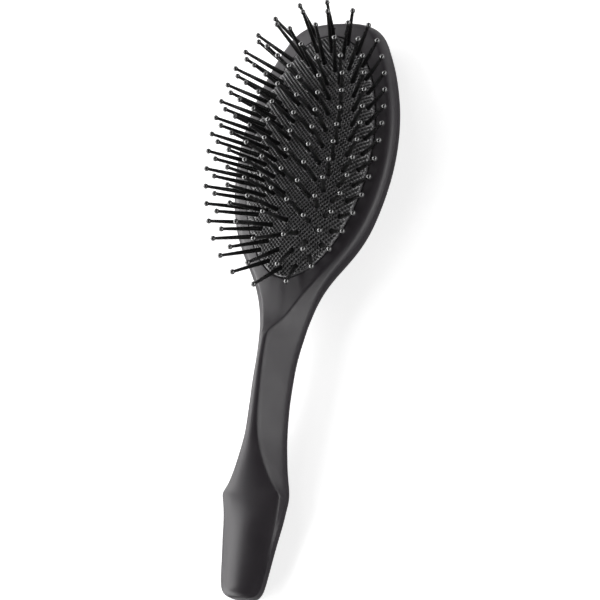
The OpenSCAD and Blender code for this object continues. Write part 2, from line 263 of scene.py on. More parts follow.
# Grip: place along it, share of the width, share of the depth.
GRIP = np.array([
    [0, .42, .55], [.012, .63, .79], [.045, .84, .95], [.11, .965, .99], [.24, 1, 1],
    [.58, 1, 1], [.83, 1, 1], [.97, 1, 1], [1, 1, 1]])
# Neck: place, share of the width, of the face, of the rise, and step from grip to throat.
NECK = np.array([
    [.049, .97, .82, .148, .2], [.108, .85, .632, .287, .4], [.16, .72, .519, .374, .55],
    [.217, .6, .414, .452, .68], [.289, .46, .301, .539, .8], [.36, .33, .214, .617, .88],
    [.431, .24, .171, .691, .93], [.505, .16, .147, .752, .97], [.652, .04, .128, .861, 1],
    [.8, 0, .116, .957, 1], [.905, .06, .114, .991, 1], [.966, .14, .117, 1, 1],
    [.988, .17, .117, .985, 1]])
# Throat: place, shares of the face, bulge and rise, step of the seam, of the back, and turn.
THROAT = np.array([
    [.001, .045, 3.08, .925, 0, .02, 1], [.012, .062, 2.95, .83, 0, .04, .98],
    [.03, .102, 2.54, .668, 0, .09, .95], [.05, .144, 2.22, .53, .02, .16, .92],
    [.072, .184, 2, .42, .05, .26, .88], [.109, .243, 1.86, .3, .12, .45, .8],
    [.145, .324, 1.56, .205, .25, .64, .68], [.179, .408, 1.4, .115, .45, .79, .56],
    [.215, .512, 1.3, .06, .68, .9, .42], [.252, .622, 1.21, .025, .85, .965, .28],
    [.296, .727, 1.15, .005, .97, .995, .14]])
# Head: place, shares of the face, bulge and back, and drop towards the top end.
HEAD = np.array([
    [.333, .804, 1.12, 1, 0], [.379, .868, 1.08, 1, 0], [.426, .92, 1.06, 1, 0],
    [.481, .964, 1.05, 1, 0], [.53, .99, 1.04, 1, 0], [.579, 1, 1.02, 1, 0],
    [.628, .995, 1, 1, 0], [.676, .976, .98, 1, 0], [.732, .936, .96, 1, 0],
    [.788, .876, .94, 1, 0], [.841, .8, .93, .99, 0], [.886, .716, .93, .96, 0],
    [.921, .636, .94, .92, 0], [.953, .544, .97, .85, 0], [.972, .465, 1.02, .77, .02],
    [.9855, .385, 1.08, .68, .16], [.994, .285, 1.14, .6, .5], [.9983, .175, 1.16, .53, .8],
    [1, .018, 1, .47, 1]])


def mix(a, b, share):
    """The value that lies a share of the way from a to b."""
    return a + (b - a) * share


print("body:", BRUSH_L, "mm long,", FACE_W + 2 * BULGE, "mm wide at the head")

# %% Rows from the shares
def body_rows():
    """Rows of [y, face half width, bulge, edge height, crown, seam depth, back depth, turn]."""
    along, wide, deep = GRIP.T
    w = mix(END_W, FLARE_W, along) / 2 * wide
    flat = w * FACE_SHARE * CROWN_SHARE
    crown = flat * mix(GRIP_CROWN, 1, np.clip((along - 0.8) / 0.2, 0, 1))
    drop = mix(END_DROP, CORNER_DROP, along)
    edge, seam = drop + crown, drop + flat + GRIP_SIDE
    share = mix(GRIP_FACE, FACE_SHARE, along)
    grip = [-TOP + GRIP_RUN * along, w * share, w * (1 - share), -mix(seam, edge, deep),
            crown * deep, seam, mix(seam, RIM_H, deep), 0 * w + GRIP_TURN]
    along, wide, face, rise, step = NECK.T
    w = mix(NECK_W, FLARE_W, wide) / 2
    f = FLARE_W / 2 * FACE_SHARE * face
    neck = [-FLARE_BACK + NECK_RUN * along, f, w - f,
            mix(-CORNER_DROP, NECK_RISE, rise) - f * CROWN_SHARE, f * CROWN_SHARE,
            mix(seam[-1], NECK_SEAM, step), mix(RIM_H, NECK_BACK, rise), mix(GRIP_TURN, 1, step)]
    along, face, bulge, rise, step, back, turned = THROAT.T
    crown = RIM_CROWN * along / along[-1] * np.clip(1 - rise, 0, 1)
    throat = [-PINCH + HEAD_RUN * along, FACE_W / 2 * face, BULGE * bulge, NECK_RISE * rise,
              crown, mix(NECK_SEAM, SEAM, step), mix(NECK_BACK, RIM_H, back), turned]
    along, face, bulge, back, drop = HEAD.T
    head = [-PINCH + HEAD_RUN * along, FACE_W / 2 * face, BULGE * bulge, -TOP_CHAMFER * drop,
            RIM_CROWN * (1 - drop), SEAM + TOP_SEAM * drop, RIM_H * back, 0 * drop]
    return np.concatenate([np.stack(part, 1) for part in (grip, neck, throat, head)])


KEY_ROWS = body_rows()


def cubic(y, table):
    """Rows at places y: a cubic between a table's rows, whose slopes are harmonic means."""
    x, v = table[:, 0], table[:, 1:]
    h = np.diff(x)[:, None]
    s = np.diff(v, axis=0) / h
    same = s[:-1] * s[1:] > 0
    total = np.where(same, s[:-1] + s[1:], 1)
    inner = np.where(same, 2 * s[:-1] * s[1:] / total, 0)
    m = np.concatenate([s[:1], inner, s[-1:]])
    i = np.clip(np.searchsorted(x, y, side="right") - 1, 0, len(x) - 2)
    t = ((y - x[i]) / h[i, 0])[:, None]
    return ((2 * t**3 - 3 * t**2 + 1) * v[i] + (t**3 - 2 * t**2 + t) * h[i] * m[i]
            + (3 * t**2 - 2 * t**3) * v[i + 1] + (t**3 - t**2) * h[i] * m[i + 1])


# Small corrections to the bulge, the seam's depth and the back at places along Y. They bring the
# outline that the camera sees onto the photograph's.
TRIM = np.array([
    [-124.3, 0.1, -1.5, -0.1], [-118, 0, -1.9, -0.4], [-108, -0.2, -1.4, -0.5],
    [-96, -0.1, -0.9, -0.6], [-87, -0.5, 1.1, 0], [-82, -0.5, 2.1, 0.2], [-77, -0.6, 2.2, 0.3],
    [-70, -0.9, 2.6, 0.3], [-62, -0.8, 2, 0.1], [-54, -0.5, 0.8, 0], [-44, 0, -0.6, -0.1],
    [-34, 0.5, -1.2, -0.2], [-24, 0.4, -0.9, 0], [-16, 0.3, -0.6, -0.1], [-8, 0, -0.7, -0.4],
    [0, -0.6, -1.7, -1.1], [10, -0.8, -2.9, -1.3], [22, 0.1, -2, -0.1], [40, 0.6, -2.3, -0.4],
    [60, 0.5, -2.2, -0.2], [80, 0.4, -1.9, -0.2], [96, 0.2, -1.3, -0.1], [110, 0.5, -1, -0.1],
    [118, 1.3, -0.9, 0], [124.3, 1.5, -0.3, 0]])
BULGE_SEAM_BACK = [1, 4, 5]


def cubic_rows(y):
    """Key rows carried to places y, with the small corrections."""
    rows = cubic(y, KEY_ROWS)
    rows[:, BULGE_SEAM_BACK] += cubic(y, TRIM)
    return rows


# Places along Y, and how far the widths (and below them the heights) are averaged there.
SOFT_WIDTHS = np.array([
    [-124.3, 0], [-112, 1], [-90, 1], [-84.6, 0.9], [-83, 0.9], [-76, 2], [-32, 3], [-21, 1.2],
    [-16, 1.2], [-8, 3], [0, 4.5], [60, 5], [96, 3], [116, 1], [121, 0.2], [124.3, 0]])
SOFT_HEIGHTS = np.array([
    [-124.3, 0], [-118, 0.6], [-104, 4], [-84, 6.5], [-64, 4], [-32, 3], [-21, 1.2],
    [-16, 1.2], [-8, 3], [0, 4.5], [60, 5], [96, 3], [116, 1], [121, 0.2], [124.3, 0]])
WIDTH_COLUMNS = 2
FINE_Y = np.linspace(KEY_ROWS[0, 0], KEY_ROWS[-1, 0], 1400)
FINE_ROWS = cubic_rows(FINE_Y)


def averaged(y, table):
    """Rows averaged over a bell curve along Y, whose width changes along the brush."""
    width = np.interp(y, *table.T)[:, None]
    bell = np.exp(-0.5 * ((y[:, None] - FINE_Y) / np.maximum(width, 0.2)) ** 2)
    soft = bell @ FINE_ROWS / bell.sum(1)[:, None]
    return mix(cubic_rows(y), soft, np.clip(width / 0.6 - 0.4, 0, 1))


def rows_at(y):
    """Softened rows, so that reflections run without ripples. At the handle's corners the
    widths keep their sharp kink, and the heights pass through in a long soft bend."""
    return np.concatenate([averaged(y, SOFT_WIDTHS)[:, :WIDTH_COLUMNS],
                           averaged(y, SOFT_HEIGHTS)[:, WIDTH_COLUMNS:]], 1)


STATION_GAP = 0.75


def stations():
    """Places along Y: at least four steps between key rows, and none longer than STATION_GAP."""
    x = KEY_ROWS[:, 0]
    counts = np.maximum(4, np.ceil(np.diff(x) / STATION_GAP)).astype(int)
    pieces = [np.linspace(a, b, n, endpoint=False) for a, b, n in zip(x[:-1], x[1:], counts)]
    return np.concatenate(pieces + [x[-1:]])


STATION_Y = stations()
print("body rows:", len(KEY_ROWS), "stations:", len(STATION_Y))

# %% [markdown]
# ## Meshes from arrays
# Every skin and every cutter is a closed ring of points carried along a path. One helper joins
# the rings, so a piece's own function only has to say where its points are. The faces must point
# outwards, or a cut would take nothing away.

# %% Ring skins
def add_piece(name, points, faces, smooth_angle=35):
    """A mesh object from points in millimetres; edges sharper than the angle stay crisp."""
    mesh = bpy.data.meshes.new(name)
    mesh.from_pydata((np.asarray(points) * MM).tolist(), [], faces)
    mesh.validate()
    piece = bpy.data.objects.new(name, mesh)
    bpy.context.scene.collection.objects.link(piece)
    soften(mesh, smooth_angle)
    return piece


def soften(mesh, smooth_angle):
    """Smooth shading, with edges sharper than the angle left crisp."""
    mesh.shade_smooth()
    mesh.set_sharp_from_angle(angle=math.radians(smooth_angle))


def ring_faces(count, size):
    """Quads between neighbouring rings of `size` points, with flat ends; rings run along +Y."""
    a = np.arange(count - 1)[:, None] * size + np.arange(size)
    b = np.arange(count - 1)[:, None] * size + (np.arange(size) + 1) % size
    quads = np.stack([a, a + size, b + size, b], -1).reshape(-1, 4)
    ends = [list(range(size)), list(range(count * size - 1, (count - 1) * size - 1, -1))]
    return quads.tolist() + ends


def rounded(before, corner, after, share_in, share_out, steps):
    """A soft corner: a quadratic curve that starts and ends at shares of the two straight lines."""
    start = mix(corner, before, share_in)
    end = mix(corner, after, share_out)
    t = np.linspace(0, 1, steps)[None, :, None]
    start, corner, end = start[:, None], corner[:, None], end[:, None]
    return (1 - t) ** 2 * start + 2 * t * (1 - t) * corner + t**2 * end


# %% Half outlines of the body
CHAMFER_SHARES, FACET_SHARES = np.array([0.66, 0.36]), np.array([0.92, 0.84])
GROOVE = 0.28
# Places along Y, how far a soft edge reaches over the face and down the side, the share of the
# lines that the bend below it takes, and how even the side is: 1 has no bend at all.
EDGE_SOFT = np.array([
    [-124.3, 1.0, 0.35, 0.35, 1], [-112, 1.4, 0.35, 0.35, 1], [-90, 1.4, 0.35, 0.35, 1],
    [-80, 0.8, 0.30, 0.28, 0], [-40, 0.45, 0.15, 0.28, 0], [0, 0.45, 0.15, 0.28, 0],
    [20, 1.0, 0.45, 0.45, 0], [124.3, 1.0, 0.45, 0.45, 0]])
EVEN_BEND, MOST_OVER = 0.75, 0.45
BACK_POWERS = np.array([[-124.3, 2.6], [-90, 2.6], [-76, 2.0], [-10, 2.0], [30, 2.6], [124, 2.6]])
BACK_FLAT = 0.8


def front_half(y):
    """Up the side and over to the middle: seam, soft bend, soft edge, crowned face; [n, k, 2]."""
    f, bulge, lift, crown, depth, _, turned = rows_at(y).T
    seam = np.stack([f + bulge, RIM_H - depth], 1)
    edge = np.stack([f, RIM_H + lift], 1)
    turned = turned[:, None]
    over, down, bent, even = (np.interp(y, EDGE_SOFT[:, 0], column)[:, None]
                              for column in EDGE_SOFT.T[1:])
    bend = mix(edge, seam, mix(mix(CHAMFER_SHARES, FACET_SHARES, turned), EVEN_BEND, even))
    inward = seam - [GROOVE, 0]
    side = np.linalg.norm(bend - seam, axis=1)[:, None]
    soft = np.minimum(0.3, GROOVE / side)
    over = np.minimum(MOST_OVER, over[:, 0] / np.maximum(f, 0.1))
    t = (1 - over)[:, None] * np.linspace(1, 0, 12)[None, :]
    face = np.stack([f[:, None] * t, edge[:, 1:] + crown[:, None] * (1 - t**2)], -1)
    groove = rounded(inward, seam, bend, np.ones_like(soft), soft, 4)
    return np.concatenate([groove, rounded(seam, bend, edge, bent, bent, 7),
                           rounded(bend, edge, face[:, 0], down, np.ones_like(soft), 8)[:, :-1],
                           face], 1)


def back_half(y):
    """Down the side and under to the middle: a superellipse quarter, flat where it rests."""
    f, bulge, _, _, depth, back, _ = (v[:, None] for v in rows_at(y).T)
    w, seam, low = f + bulge, RIM_H - depth, RIM_H - back - BACK_FLAT
    a = np.radians(np.linspace(0, 90, 25))[None, 1:]
    power = np.interp(y, *BACK_POWERS.T)[:, None]
    x = w * np.abs(np.cos(a)) ** (2 / power)
    z = np.maximum(0, seam - (seam - low) * np.sin(a) ** (2 / power))
    top = np.concatenate([w - GROOVE, w - 0.07, w], 1)
    drop = np.minimum(GROOVE, 0.3 * (seam - low))
    down = np.concatenate([seam, seam - 0.3 * drop, seam - drop], 1)
    keep = np.maximum(drop, seam - z)
    return np.stack([np.concatenate([top, x], 1), np.concatenate([down, seam - keep], 1)], -1)


def body_skin(name, half, y, reverse):
    """Mirrors the half outline, closes the ring and carries it along Y."""
    right = half(y)
    left = right[:, -2::-1] * [-1, 1]
    ring = np.concatenate([right, left], 1)
    if reverse:
        ring = ring[:, ::-1]
    n, k, _ = ring.shape
    points = np.stack([ring[..., 0], np.broadcast_to(y[:, None], (n, k)), ring[..., 1]], -1)
    return add_piece(name, points.reshape(-1, 3), ring_faces(n, k))


front = body_skin("front_frame_skin", front_half, STATION_Y, False)
back = body_skin("back_shell_skin", back_half, STATION_Y, True)
print("front:", len(front.data.polygons), "faces, back:", len(back.data.polygons), "faces")

# %% [markdown]
# ## Opening, seat and notch
# The cushion's opening, the seat for the parts under it and the small slot at the top are cut
# with closed cutter shapes, as a mould's core would leave them. The opening's upper end flares
# out by under half a millimetre and follows the height of the rim face, so the rim gets the soft
# inner edge of a moulding. A bevel after the cut would need clean edges, which a cut seldom has.

# %% The cushion's oval
RIM_SIDE, TOP_GAP, NECK_GAP = 5.1, 8.0, 25.6
OVAL_A, OVAL_B = FACE_W / 2 - RIM_SIDE, (HEAD_RUN - TOP_GAP - NECK_GAP) / 2
OVAL_Y = TOP - TOP_GAP - OVAL_B
OVAL_POWER, OVAL_NARROW = 2.1, 0.25


def signed_power(v, power):
    """A power that keeps the sign."""
    return np.sign(v) * np.abs(v) ** power


def oval(grow, turn_share):
    """Points of a superellipse grown by `grow`: less square towards the handle."""
    t = 2 * np.pi * np.asarray(turn_share)
    e = 2 / np.where(np.cos(t) > 0, OVAL_POWER - OVAL_NARROW, OVAL_POWER)
    return np.stack([-(OVAL_A + grow) * signed_power(np.sin(t), e),
                     -(OVAL_B + grow) * signed_power(np.cos(t), e) + OVAL_Y], -1)


print("opening:", round(2 * OVAL_A, 1), "x", round(2 * OVAL_B, 1), "mm")

# %% Cutters
GAP, FLANGE_OUT, FLANGE_IN, FIT = 0.15, 2.1, 2.6, 0.1
LIP_Z, SEAM_Z, PLATE_Z, POCKET_WALL, RIB = 13.5, 9.5, 7.5, 2.5, 2.0
RIM_SOFT, NOTCH_DEPTH = 0.4, 0.7
FLARE_STEPS = 6
CUT_SIDES = 240


def face_height(flat):
    """Height of the crowned front face over points x, y."""
    rows = rows_at(flat[:, 1])
    return RIM_H + rows[:, 2] + rows[:, 3] * (1 - (flat[:, 0] / rows[:, 0]) ** 2)


def opening_cutter():
    """Rings of ovals from under the seam to over the face: wide seat, lip, wall and flare."""
    share = np.arange(CUT_SIDES) / CUT_SIDES
    rings = [(oval(FLANGE_OUT + FIT, share), SEAM_Z - 3), (oval(FLANGE_OUT + FIT, share), LIP_Z),
             (oval(GAP, share), LIP_Z)]
    for a in np.radians(np.linspace(0, 62, FLARE_STEPS)):
        flat = oval(GAP + RIM_SOFT * (1 - math.cos(a)), share)
        rings.append((flat, face_height(flat) - RIM_SOFT * (1 - math.sin(a)) - 0.02))
    flat = oval(GAP + RIM_SOFT * 1.5, share)
    rings.append((flat, face_height(flat) + RIM_SOFT * 0.4))
    rings.append((oval(GAP + RIM_SOFT * 1.5, share), RIM_H + 12))
    points = np.concatenate([np.column_stack([f, np.broadcast_to(z, len(f))]) for f, z in rings])
    return points, ring_faces(len(rings), CUT_SIDES)


def prism(outline, low, high):
    """A straight block with that outline, which runs clockwise seen from above."""
    points = np.concatenate([np.column_stack([outline, np.full(len(outline), z)])
                             for z in (low, high)])
    return points, ring_faces(2, len(outline))


def slab(x0, x1, y0, y1):
    """A rectangle's corners, clockwise seen from above."""
    return np.array([[x0, y0], [x0, y1], [x1, y1], [x1, y0]], float)


def joined(blocks):
    """Several blocks as one set of points and faces."""
    starts = np.cumsum([0] + [len(p) for p, _ in blocks])
    faces = [[v + s for v in f] for (_, fs), s in zip(blocks, starts) for f in fs]
    return np.concatenate([p for p, _ in blocks]), faces


def pocket(y0, y1):
    """Outline of the back's pocket between two ribs."""
    a, b = OVAL_A - FLANGE_IN, OVAL_B - FLANGE_IN
    y = np.linspace(max(y0, -b), min(y1, b), 40)
    e = np.where(y < 0, OVAL_POWER - OVAL_NARROW, OVAL_POWER)
    x = a * np.maximum(0.02, 1 - (np.abs(y) / b) ** e) ** (1 / e)
    return np.concatenate([np.column_stack([-x, y]), np.column_stack([x, y])[::-1]]) + [0, OVAL_Y]


def cut(piece, name, blocks):
    """Takes the blocks out of the piece, exactly, and keeps the result as its mesh."""
    points, faces = joined(blocks)
    cutter = add_piece(name, points, faces)
    step = piece.modifiers.new(name, "BOOLEAN")
    step.operation, step.solver, step.object = "DIFFERENCE", "EXACT", cutter
    graph = bpy.context.evaluated_depsgraph_get()
    result = bpy.data.meshes.new_from_object(piece.evaluated_get(graph))
    piece.modifiers.clear()
    old = piece.data
    piece.data = result
    bpy.data.meshes.remove(old)
    bpy.data.objects.remove(cutter)


NOTCH = slab(-1.7, 1.7, TOP - 4.8, TOP - 4.0)
NOTCH_FLOOR = float(face_height(NOTCH.mean(0)[None])[0]) - NOTCH_DEPTH
rib_middles = np.array([-2, -0.5, 0, 0.5, 2]) * OVAL_B
cut(front, "opening", [opening_cutter(), prism(NOTCH, NOTCH_FLOOR, RIM_H + 6)])
seat = oval(FLANGE_OUT + FIT, np.arange(CUT_SIDES) / CUT_SIDES)
pockets = [prism(pocket(a + RIB / 2, b - RIB / 2), POCKET_WALL, PLATE_Z + 0.5)
           for a, b in zip(rib_middles[:-1], rib_middles[1:])]
cut(back, "seat", [prism(seat, PLATE_Z, RIM_H + 2)])
cut(back, "pockets", pockets)
for piece in (front, back):
    soften(piece.data, 32)
print("after the cuts:", len(front.data.polygons), len(back.data.polygons), "faces")

# %% [markdown]
# ## The cushion
# The cushion is a thin rubber dome moulded with a fine net: raised threads 1.3 millimetres
# apart, with a square pit between each four. Bump nodes could draw such a net, but from low
# angles it would look flat, so it is real relief here. The grid of points is laid along the
# threads, six points to a pitch, so every thread and every pit is cut cleanly. Round each pin
# the faces are left out and the points around the gap are drawn onto a circle.

# %% Pins' places
PIN_L, BALL_D, BASE_D, TIP_D, HEAD_D, HEAD_T = 18.4, 2.25, 2.0, 1.3, 2.6, 0.8
RUBBER, HEAD_GAP, SOFT_GAP = 1.6, 1.1, 0.2
DOME_Z, RISE = 14.7, 11.8
RING_NAMES = ["outer", "second", "third", "fourth", "inner"]
ZONES = [6, 6, 4, 4, 2]
COUNTS = [36, 32, 26, 20, 14]
TURNS = [0.36, 0.59, 0.37, 0.12, -0.16]
RING_POWERS = [2.15, 2.25, 2.35, 2.5, 2.65]
# Lean of each ring's pins in degrees: to the left and right side, to the handle's end and the top.
SIDE_LEANS = np.array([[43, 46], [37.5, 38.5], [26.5, 27], [12, 13], [1, 1]])
END_LEANS = np.array([[44, 32], [41, 38], [29, 32], [13, 17], [4, 5]])
RING_INSET, END_INSET, RING_SHIFT = 2.0, 2.8, 0.9
INNER_SHARES, SMALL_TURN = (0.19, 0.48), 0.004


def dome_radius(x, y):
    """Share of the way from the cushion's middle (0) to its edge (1); y counts from the middle."""
    e = np.where(y < 0, OVAL_POWER - OVAL_NARROW, OVAL_POWER)
    return ((np.abs(x) / OVAL_A) ** e + (np.abs(y) / OVAL_B) ** e) ** (1 / e)


def dome_height(x, y):
    """Height of the bare dome: an ellipse's arc over the share of the way to its edge."""
    return DOME_Z + RISE * np.sqrt(np.maximum(0, 1 - dome_radius(x, y) ** 2))


def pin_ring(r):
    """Feet and directions of one ring of pins, evenly spaced along a superellipse."""
    step = r / (len(ZONES) - 1)
    a = mix(OVAL_A - RING_INSET, OVAL_A * INNER_SHARES[0], step)
    b = mix(OVAL_B - END_INSET, OVAL_B * INNER_SHARES[1], step)
    t = np.linspace(0, 2 * np.pi, 145)
    e = 2 / np.where(np.cos(t) > 0, RING_POWERS[r] - OVAL_NARROW, RING_POWERS[r])
    path = np.stack([-a * signed_power(np.sin(t), e),
                     -b * signed_power(np.cos(t), e) + RING_SHIFT], 1)
    run = np.concatenate([[0], np.cumsum(np.linalg.norm(np.diff(path, axis=0), axis=1))])

    def spot(u):
        """Points a share u of the way round."""
        s = (u % 1) * run[-1]
        return np.stack([np.interp(s, run, path[:, c]) for c in (0, 1)], 1)

    u = (np.arange(COUNTS[r]) + TURNS[r]) / COUNTS[r]
    p, d = spot(u), spot(u + SMALL_TURN) - spot(u - SMALL_TURN)
    out = np.stack([-d[:, 1], d[:, 0]], 1) / np.linalg.norm(d, axis=1)[:, None]
    angles = np.where(out < 0, [SIDE_LEANS[r, 0], END_LEANS[r, 0]],
                      [SIDE_LEANS[r, 1], END_LEANS[r, 1]])
    lean = out * np.tan(np.radians(angles))
    axis = np.column_stack([lean, np.ones(len(u))])
    axis /= np.linalg.norm(axis, axis=1)[:, None]
    foot = np.column_stack([p, dome_height(p[:, 0], p[:, 1])])
    zone = np.floor(((np.arange(COUNTS[r]) / COUNTS[r] + 0.5 / ZONES[r]) % 1) * ZONES[r] + 1e-9)
    return foot + [0, OVAL_Y, 0], axis, zone.astype(int)


RINGS = [pin_ring(r) for r in range(len(ZONES))]
FEET = np.concatenate([ring[0] for ring in RINGS])
AXES = np.concatenate([ring[1] for ring in RINGS])
print("pins:", len(FEET))

# %% The dome's net
NET_PITCH, NET_TURN, NET_STEPS = 1.31, 43.0, 6
NET_DEPTH = 0.5
NET_PROFILE = np.array([0.0, 0.5, 1.0, 1.0, 1.0, 0.5])
HOLE_R = BASE_D / 2 + SOFT_GAP
SLOPE_STEP, EDGE_SHARE = 0.05, 0.9985


def on_dome(x, y):
    """Points of the bare dome over places x, y, where y counts from the dome's middle."""
    return np.stack([x, y + OVAL_Y, dome_height(x, y)], -1)


def dome_normal(x, y):
    """Unit normals from the slope of the dome's height, taken over a tenth of a millimetre."""
    h = SLOPE_STEP
    gx = (dome_height(x + h, y) - dome_height(x - h, y)) / (2 * h)
    gy = (dome_height(x, y + h) - dome_height(x, y - h)) / (2 * h)
    rim = dome_radius(x, y) > EDGE_SHARE
    flat = np.stack([x / OVAL_A**2, y / OVAL_B**2], -1)
    flat /= np.maximum(1e-9, np.linalg.norm(flat, axis=-1))[..., None]
    n = np.stack([-gx, -gy, np.ones_like(gx)], -1)
    n /= np.linalg.norm(n, axis=-1)[..., None]
    return np.where(rim[..., None], np.concatenate([flat, 0 * flat[..., :1]], -1), n)


def net_grid():
    """The grid along the threads: columns i and rows j, with the pit depth at each point."""
    reach = int(math.ceil(max(OVAL_A, OVAL_B) * 1.1 / NET_PITCH)) * NET_STEPS
    i = np.arange(-reach, reach + 1)
    u, v = np.meshgrid(i, i, indexing="ij")
    c, s = math.cos(math.radians(NET_TURN)), math.sin(math.radians(NET_TURN))
    step = NET_PITCH / NET_STEPS
    x, y = step * (u * c - v * s), step * (u * s + v * c)
    depth = NET_PROFILE[u % NET_STEPS] * NET_PROFILE[v % NET_STEPS]
    return x, y, depth


def to_pins(points):
    """For each point: its nearest pin, and how far the point stands from that pin's axis."""
    away = points[:, None, :] - FEET[None]
    along = np.einsum("ijk,jk->ij", away, AXES)
    gap = np.linalg.norm(away - along[..., None] * AXES[None], axis=2)
    nearest = gap.argmin(1)
    pick = np.arange(len(points))
    return nearest, gap[pick, nearest], along[pick, nearest]


def cushion_surface():
    """Points of the top of the dome and the grid faces that are kept, edges drawn into place."""
    x, y, depth = net_grid()
    mid_x, mid_y = (x[:-1, :-1] + x[1:, 1:]) / 2, (y[:-1, :-1] + y[1:, 1:]) / 2
    inside = dome_radius(mid_x, mid_y) < 0.998
    mids = on_dome(mid_x, mid_y)[inside]
    keep = inside.copy()
    keep[inside] = to_pins(mids)[1] > HOLE_R
    ids = np.arange(x.size).reshape(x.shape)
    quads = np.stack([ids[:-1, :-1], ids[1:, :-1], ids[1:, 1:], ids[:-1, 1:]], -1)[keep]
    used, quads = np.unique(quads, return_inverse=True)
    return x.ravel()[used], y.ravel()[used], depth.ravel()[used], quads.reshape(-1, 4)


def border_edges(quads):
    """Edges that only one face has, in that face's direction."""
    edges = np.concatenate([quads[:, [k, (k + 1) % 4]] for k in range(4)])
    key = np.sort(edges, 1)
    _, first, count = np.unique(key[:, 0] * (quads.max() + 1) + key[:, 1], return_index=True,
                                return_counts=True)
    return edges[first[count == 1]]


def drawn_in(x, y, border):
    """Border points move onto the dome's edge, or onto the circle round their pin."""
    spots = np.unique(border)
    bx, by = x[spots], y[spots]
    radius = dome_radius(bx, by)
    nearest, gap, _ = to_pins(on_dome(bx, by))
    at_rim = (radius > 0.97) & (gap > 1.6 * HOLE_R)
    for _ in range(4):
        away = on_dome(bx, by) - FEET[nearest]
        axis = AXES[nearest]
        radial = away - np.einsum("ij,ij->i", away, axis)[:, None] * axis
        size = np.linalg.norm(radial, axis=1)
        move = radial * (HOLE_R / np.maximum(size, 1e-6) - 1)[:, None]
        bx = np.where(at_rim, bx, bx + move[:, 0])
        by = np.where(at_rim, by, by + move[:, 1])
    bx, by = np.where(at_rim, bx / radius, bx), np.where(at_rim, by / radius, by)
    x, y = x.copy(), y.copy()
    x[spots], y[spots] = bx, by
    return x, y, spots[at_rim]


print("net:", NET_PITCH, "mm apart,", NET_DEPTH, "mm deep")

# %% Build the cushion
FLANGE_Z, FLANGE_T = 11.9, 1.5
TUCK, BORDER_DROP = 0.1, 0.45
PIN_FADE, RIM_FADE, LINING = 0.5, 0.02, 1.2


def tucked(x, y):
    """How far the dome's border is drawn in from the rim: 0 inside it, 1 at its edge."""
    return np.clip((dome_radius(x, y) - 0.93) / 0.07, 0, 1) ** 2


def border_rise(x, y):
    """How far the dome's border is lifted, so that it ends just below the crowned rim face."""
    face = face_height(np.column_stack([x, y + OVAL_Y]))
    return np.maximum(0, face - BORDER_DROP - DOME_Z) * tucked(x, y)


def cushion_mesh():
    """Dome, the same dome one rubber thickness inside it, walls at the holes and the flange."""
    x, y, depth, quads = cushion_surface()
    border = border_edges(quads)
    x, y, rim = drawn_in(x, y, border)
    smooth = on_dome(x, y)
    normal = dome_normal(x, y)
    smooth = smooth - TUCK * np.column_stack([normal[:, :2], 0 * x]) * tucked(x, y)[:, None]
    smooth[:, 2] += border_rise(x, y)
    nearest, gap, _ = to_pins(smooth)
    fade = (np.clip((gap - HOLE_R) / PIN_FADE, 0, 1)
            * np.clip((1 - dome_radius(x, y)) / RIM_FADE, 0, 1))
    top = smooth - normal * (NET_DEPTH * depth * fade)[:, None]
    axis = AXES[nearest]
    lined = np.clip(1 - (gap - HOLE_R) / LINING, 0, 1)[:, None]
    reach = RUBBER / np.maximum(0.45, np.einsum("ij,ij->i", axis, normal))[:, None]
    under = smooth - mix(normal * RUBBER, axis * reach, lined)
    n = len(top)
    is_rim = np.zeros(n, bool)
    is_rim[rim] = True
    rim_edge = is_rim[border].all(1)
    hole = border[~rim_edge]
    walls = np.stack([hole[:, 1], hole[:, 0], hole[:, 0] + n, hole[:, 1] + n], 1)
    loop = np.unique(border[rim_edge])
    place = np.full(n, -1)
    place[loop] = np.arange(len(loop))
    steps = [(-TUCK, FLANGE_Z + FLANGE_T), (FLANGE_OUT, FLANGE_Z + FLANGE_T),
             (FLANGE_OUT, FLANGE_Z), (-RUBBER, FLANGE_Z)]
    share = np.column_stack([x[loop] / OVAL_A, y[loop] / OVAL_B])
    rings = [np.column_stack([share * [OVAL_A + g, OVAL_B + g] + [0, OVAL_Y],
                              np.full(len(loop), z)]) for g, z in steps]
    starts = [None] + [2 * n + k * len(loop) for k in range(len(steps))] + [None]
    edge = border[rim_edge]
    skirts = []
    for k in range(len(steps) + 1):
        a = edge if k == 0 else place[edge] + starts[k]
        b = edge + n if k == len(steps) else place[edge] + starts[k + 1]
        skirts.append(np.stack([a[:, 1], a[:, 0], b[:, 0], b[:, 1]], 1))
    points = np.concatenate([top, under] + rings)
    faces = np.concatenate([quads, quads[:, ::-1] + n, walls] + skirts)
    pit = np.concatenate([depth * fade, np.zeros(len(points) - n)])
    return points, faces, pit


points, faces, pit = cushion_mesh()
cushion = add_piece("rubber_cushion", points, faces.tolist(), 60)
# The pit depth darkens the rubber's colour as painted shade and makes it duller, in the cushion's
# finish.
cushion.data.attributes.new("pit", "FLOAT", "POINT").data.foreach_set("value", pit)
print("cushion:", len(points), "points,", len(faces), "faces")

# %% [markdown]
# ## The pins
# Each real pin is moulded nylon: a head under the rubber, a tapered shaft and a ball at its tip
# that keeps it from scratching. Here it is one profile turned about the pin's own axis, with
# few sides, since there are 128 of them. All pins of a sprung group are one mesh, because they
# move as one.

# %% Turned pins
PIN_SIDES = 12


def pin_profile():
    """Radius and height along the pin's axis, from the head under the rubber to the ball's pole."""
    low = -RUBBER - HEAD_GAP
    ball = BALL_D / 2
    start = math.asin(TIP_D / 2 / ball)
    arc = np.linspace(start, math.pi, 7)
    shaft = [[0, low - HEAD_T], [HEAD_D / 2, low - HEAD_T], [HEAD_D / 2, low], [BASE_D / 2, low],
             [BASE_D / 2, 0]]
    sphere = np.stack([ball * np.sin(arc), PIN_L - ball * np.cos(arc)], 1)
    return np.concatenate([np.array(shaft), sphere])


